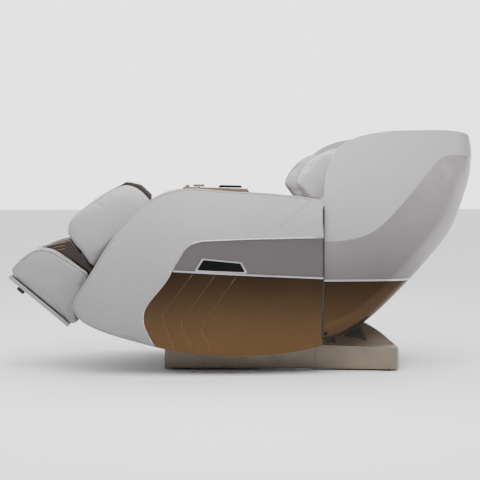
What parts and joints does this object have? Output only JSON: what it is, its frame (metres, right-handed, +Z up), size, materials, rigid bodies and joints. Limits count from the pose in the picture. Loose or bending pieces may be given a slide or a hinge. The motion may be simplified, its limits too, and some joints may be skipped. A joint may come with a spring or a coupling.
{
  "type": "reclining massage chair",
  "caption": "Reclining massage chair in zero-gravity position: moulded arms and back shell, padded seat, back, calf and foot rests on a sliding base.",
  "frame": {"origin": "on the floor, under the middle of the chair's overall box", "axes": "+X from the feet to the head, +Y to the sitter's right, +Z up"},
  "size_m": [1.9233, 0.8016, 1.0019],
  "materials": {
    "light_shell": "satin pearl taupe",
    "leather": "soft taupe synthetic leather",
    "grey_panel": "metallic grey",
    "bronze_panel": "metallic bronze",
    "silver_trim": "bright silver",
    "base_cover": "khaki taupe, fine texture",
    "black_plastic": "matte black",
    "black_gloss": "piano black",
    "lining": "dark brown lining",
    "steel": "black powder coat",
    "rod_steel": "ground steel",
    "rubber": "black rubber",
    "roller": "dark grey nylon"
  },
  "bodies": {
    "base": {"base_frame": "steel", "base_front_cover": "base_cover", "base_tail_cover": "base_cover", "base_vents": "black_plastic", "floor_feet": "rubber", "slide_rails": "steel", "slide_actuator": "steel", "power_inlet": "black_plastic"},
    "wheel_left": {"wheel_left": "rubber"},
    "wheel_right": {"wheel_right": "rubber"},
    "power_rocker": {"power_rocker": "black_gloss"},
    "carriage": {"carriage_frame": "steel", "slide_rod": "rod_steel", "tilt_actuator": "steel"},
    "tilt_rod": {"tilt_rod": "rod_steel"},
    "seat": {"seat_frame": "steel", "seat_cushion": "leather", "legrest_actuator": "steel", "back_actuator": "steel", "arm_shell_left": "light_shell", "arm_shell_right": "light_shell", "arm_inlay": "grey_panel", "arm_skirt_left": "bronze_panel", "arm_skirt_right": "bronze_panel", "arm_trim": "silver_trim", "arm_badge": "black_gloss", "arm_liner_left": "leather", "arm_liner_right": "leather", "control_tray": "bronze_panel", "touch_panel": "black_gloss"},
    "control_dial": {"control_dial": "silver_trim"},
    "start_button": {"start_button": "silver_trim"},
    "legrest_rod": {"legrest_rod": "rod_steel"},
    "back_rod": {"back_rod": "rod_steel"},
    "legrest": {"legrest_frame": "steel", "calf_block": "leather", "calf_liner": "lining"},
    "footrest": {"foot_block": "leather", "foot_liner": "lining", "sole_plate": "light_shell", "footrest_bumpers": "rubber"},
    "sole_roller_left": {"sole_roller_left": "roller"},
    "sole_roller_right": {"sole_roller_right": "roller"},
    "back": {"back_frame": "steel", "back_shell_crown": "light_shell", "back_shell_band": "grey_panel", "back_shell_trim": "silver_trim", "back_shell_skirt": "bronze_panel", "back_cushion": "leather", "shoulder_pad_left": "leather", "shoulder_pad_right": "leather", "shell_lining": "leather"},
    "head_pillow": {"head_pillow": "leather"},
    "mechanism": {"massage_carriage": "steel"},
    "knead_left": {"massage_arm_left": "steel"},
    "knead_right": {"massage_arm_right": "steel"},
    "massage_roller_left_lower": {"massage_roller_left_lower": "roller"},
    "massage_roller_left_upper": {"massage_roller_left_upper": "roller"},
    "massage_roller_right_lower": {"massage_roller_right_lower": "roller"},
    "massage_roller_right_upper": {"massage_roller_right_upper": "roller"}
  },
  "joints": [
    {"name": "wheel_left_spin", "type": "hinge", "parent": "base", "child": "wheel_left", "pos_m": [0.606, -0.262, 0.03], "axis": [0, 1, 0], "continuous": true},
    {"name": "wheel_right_spin", "type": "hinge", "parent": "base", "child": "wheel_right", "pos_m": [0.606, 0.262, 0.03], "axis": [0, 1, 0], "continuous": true},
    {"name": "power_rocker_tilt", "type": "hinge", "parent": "base", "child": "power_rocker", "pos_m": [0.678, 0, 0.046], "axis": [0, 1, 0], "range_deg": [-6, 6]},
    {"name": "carriage_slide", "type": "slide", "parent": "base", "child": "carriage", "axis": [1, 0, 0], "range_m": [0, 0.12]},
    {"name": "seat_tilt", "type": "hinge", "parent": "carriage", "child": "seat", "pos_m": [0.06, 0, 0.2], "axis": [0, -1, 0], "range_deg": [0, 8]},
    {"name": "tilt_rod_slide", "type": "slide", "parent": "carriage", "child": "tilt_rod", "axis": [0, 0, 1], "range_m": [-0.0252, 0]},
    {"name": "back_recline", "type": "hinge", "parent": "seat", "child": "back", "pos_m": [0.23, 0, 0.3], "axis": [0, -1, 0], "range_deg": [-5, 15]},
    {"name": "back_rod_slide", "type": "slide", "parent": "seat", "child": "back_rod", "axis": [1, 0, 0], "range_m": [-0.0066, 0.0197]},
    {"name": "legrest_lift", "type": "hinge", "parent": "seat", "child": "legrest", "pos_m": [-0.4, 0, 0.56], "axis": [0, 1, 0], "range_deg": [-26, 8]},
    {"name": "legrest_rod_slide", "type": "slide", "parent": "seat", "child": "legrest_rod", "axis": [-0.8669, 0, 0.4985], "range_m": [-0.0318, 0.0098]},
    {"name": "footrest_extend", "type": "slide", "parent": "legrest", "child": "footrest", "axis": [-0.8192, 0, -0.5736], "range_m": [0, 0.1]},
    {"name": "sole_roller_left_spin", "type": "hinge", "parent": "footrest", "child": "sole_roller_left", "pos_m": [-0.82761, -0.12, 0.33383], "axis": [0, 1, 0], "continuous": true},
    {"name": "sole_roller_right_spin", "type": "hinge", "parent": "footrest", "child": "sole_roller_right", "pos_m": [-0.82761, 0.12, 0.33383], "axis": [0, 1, 0], "continuous": true},
    {"name": "head_pillow_flip", "type": "hinge", "parent": "back", "child": "head_pillow", "pos_m": [0.78835, 0, 0.87672], "axis": [0, 1, 0], "range_deg": [0, 90]},
    {"name": "massage_travel", "type": "slide", "parent": "back", "child": "mechanism", "axis": [0.7254, 0, 0.6884], "range_m": [-0.16, 0.18]},
    {"name": "knead_left_swing", "type": "hinge", "parent": "mechanism", "child": "knead_left", "pos_m": [0.53032, 0, 0.47746], "axis": [0, 1, 0], "range_deg": [-8, 8]},
    {"name": "knead_right_swing", "type": "hinge", "parent": "mechanism", "child": "knead_right", "pos_m": [0.53032, 0, 0.47746], "axis": [0, 1, 0], "range_deg": [-8, 8]},
    {"name": "massage_roller_left_lower_spin", "type": "hinge", "parent": "knead_left", "child": "massage_roller_left_lower", "pos_m": [0.47592, -0.104, 0.42584], "axis": [0, 1, 0], "continuous": true},
    {"name": "massage_roller_left_upper_spin", "type": "hinge", "parent": "knead_left", "child": "massage_roller_left_upper", "pos_m": [0.58472, -0.104, 0.52909], "axis": [0, 1, 0], "continuous": true},
    {"name": "massage_roller_right_lower_spin", "type": "hinge", "parent": "knead_right", "child": "massage_roller_right_lower", "pos_m": [0.47592, 0.104, 0.42584], "axis": [0, 1, 0], "continuous": true},
    {"name": "massage_roller_right_upper_spin", "type": "hinge", "parent": "knead_right", "child": "massage_roller_right_upper", "pos_m": [0.58472, 0.104, 0.52909], "axis": [0, 1, 0], "continuous": true},
    {"name": "control_dial_turn", "type": "hinge", "parent": "seat", "child": "control_dial", "pos_m": [-0.19, -0.332, 0.773], "axis": [0, 0, 1], "range_deg": [-150, 150]},
    {"name": "start_button_press", "type": "slide", "parent": "seat", "child": "start_button", "axis": [0, 0, -1], "range_m": [0, 0.002], "stiffness_N_per_m": 600}
  ],
  "couplings": [
    {"joint": "tilt_rod_slide", "follows": "seat_tilt", "m_per_rad": -0.18},
    {"joint": "back_rod_slide", "follows": "back_recline", "m_per_rad": 0.075},
    {"joint": "legrest_rod_slide", "follows": "legrest_lift", "m_per_rad": 0.07},
    {"joint": "knead_right_swing", "follows": "knead_left_swing", "ratio": -1}
  ]
}
